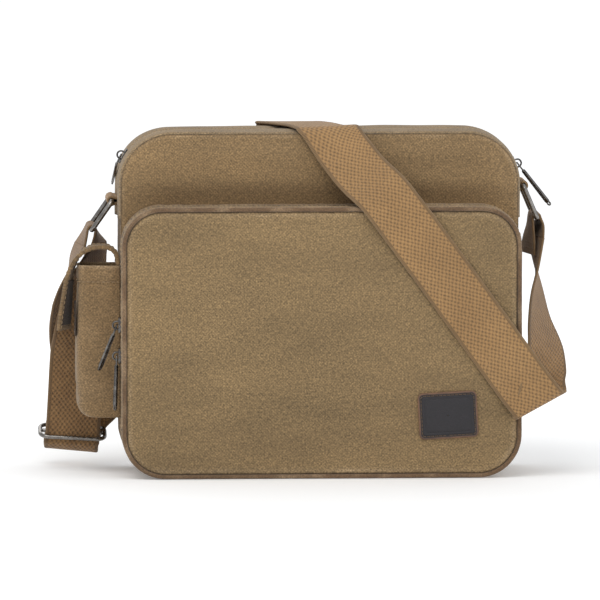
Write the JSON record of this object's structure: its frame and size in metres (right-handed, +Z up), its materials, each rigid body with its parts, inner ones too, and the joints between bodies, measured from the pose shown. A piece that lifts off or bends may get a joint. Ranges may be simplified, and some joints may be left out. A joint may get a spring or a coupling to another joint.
{
  "type": "messenger bag",
  "caption": "Canvas messenger bag with a zipped front pocket, an open side pocket, wire strap rings and a wide webbing shoulder strap with a slide adjuster.",
  "frame": {"origin": "bottom centre of the base, midway between the front pocket's face and the back panel", "axes": "+Z up, +X to the right seen from the front, -Y out of the front pocket"},
  "size_m": [0.4771, 0.1574, 0.3075],
  "materials": {
    "canvas": "washed khaki canvas, coarse plain weave",
    "piping": "bias-cut cotton over cord, reddish brown",
    "webbing": "coarse tan twill webbing",
    "zip_tape": "woven dark brown zip tape",
    "hook_and_loop": "hook and loop tape",
    "zip_metal": "dark antique metal coil",
    "gunmetal": "dark nickel, worn bright on its edges",
    "lining": "plain woven polyester lining",
    "foam": "closed-cell foam sheet",
    "leather": "near-black brown pressed leather"
  },
  "bodies": {
    "root": {"main_front_panel": "canvas", "back_panel": "canvas", "side_base_gusset": "canvas", "top_gusset_front": "canvas", "top_gusset_back": "canvas", "back_piping": "piping", "main_zip_tape_front": "zip_tape", "main_zip_tape_back": "zip_tape", "main_zip_chain": "zip_metal", "main_zip_stops": "zip_metal", "main_lining": "lining", "front_foam": "foam", "back_foam": "foam", "pocket_panel": "canvas", "pocket_piping": "piping", "pocket_gusset_front": "canvas", "pocket_gusset_back": "canvas", "pocket_base_gusset": "canvas", "pocket_zip_tape_front": "zip_tape", "pocket_zip_tape_back": "zip_tape", "pocket_zip_chain": "zip_metal", "pocket_zip_stops": "zip_metal", "pocket_lining": "lining", "leather_patch": "leather", "side_pocket": "canvas", "side_pocket_tongue_root": "canvas", "pocket_loop_tape": "hook_and_loop", "left_tab": "webbing", "right_tab": "webbing", "shoulder_strap": "webbing", "strap_return_layer": "webbing"},
    "main_slider_left": {"main_slider_left": "gunmetal"},
    "main_slider_right": {"main_slider_right": "gunmetal"},
    "main_puller_left": {"main_puller_left": "gunmetal"},
    "main_puller_right": {"main_puller_right": "gunmetal"},
    "pocket_slider_upper": {"pocket_slider_upper": "gunmetal"},
    "pocket_slider_lower": {"pocket_slider_lower": "gunmetal"},
    "pocket_puller_upper": {"pocket_puller_upper": "gunmetal"},
    "pocket_puller_lower": {"pocket_puller_lower": "gunmetal"},
    "tongue": {"side_pocket_tongue": "canvas", "tongue_hook_tape": "hook_and_loop"},
    "left_ring": {"left_ring": "gunmetal", "left_ring_webbing": "webbing"},
    "right_ring": {"right_ring": "gunmetal", "right_ring_webbing": "webbing"},
    "adjuster": {"adjuster_frame": "gunmetal", "adjuster_bar": "gunmetal", "strap_sewn_end": "webbing"}
  },
  "joints": [
    {"name": "main_slider_left_run", "type": "hinge", "parent": "root", "child": "main_slider_left", "pos_m": [-0.13, 0.021, 0.255], "axis": [0, 1, 0], "range_deg": [0, 60]},
    {"name": "main_slider_right_run", "type": "hinge", "parent": "root", "child": "main_slider_right", "pos_m": [0.13, 0.021, 0.255], "axis": [0, -1, 0], "range_deg": [0, 70]},
    {"name": "main_puller_left_swing", "type": "hinge", "parent": "main_slider_left", "child": "main_puller_left", "pos_m": [-0.17303, 0.021, 0.27885], "axis": [0, 1, 0], "range_deg": [0, 110]},
    {"name": "main_puller_right_swing", "type": "hinge", "parent": "main_slider_right", "child": "main_puller_right", "pos_m": [0.17679, 0.021, 0.2702], "axis": [0, -1, 0], "range_deg": [0, 100]},
    {"name": "pocket_slider_upper_run", "type": "slide", "parent": "root", "child": "pocket_slider_upper", "axis": [0, 0, 1], "range_m": [0, 0.058]},
    {"name": "pocket_slider_lower_run", "type": "slide", "parent": "root", "child": "pocket_slider_lower", "axis": [0, 0, -1], "range_m": [0, 0.045]},
    {"name": "pocket_puller_upper_swing", "type": "hinge", "parent": "pocket_slider_upper", "child": "pocket_puller_upper", "pos_m": [-0.1792, -0.044, 0.134], "axis": [0, 1, 0], "range_deg": [0, 100]},
    {"name": "pocket_puller_lower_swing", "type": "hinge", "parent": "pocket_slider_lower", "child": "pocket_puller_lower", "pos_m": [-0.1792, -0.044, 0.107], "axis": [0, 1, 0], "range_deg": [0, 80]},
    {"name": "tongue_lift", "type": "hinge", "parent": "root", "child": "tongue", "pos_m": [-0.19, -0.006, 0.2018], "axis": [0, 1, 0], "range_deg": [-2, 50]},
    {"name": "left_ring_swing", "type": "hinge", "parent": "root", "child": "left_ring", "pos_m": [-0.1815, 0.032, 0.239], "axis": [0, 1, 0], "range_deg": [-12, 40]},
    {"name": "right_ring_swing", "type": "hinge", "parent": "root", "child": "right_ring", "pos_m": [0.181, 0.032, 0.251], "axis": [0, -1, 0], "range_deg": [-18, 17]},
    {"name": "adjuster_slide", "type": "slide", "parent": "root", "child": "adjuster", "axis": [0.0558, 0, 0.9984], "range_m": [0, 0.045]}
  ]
}
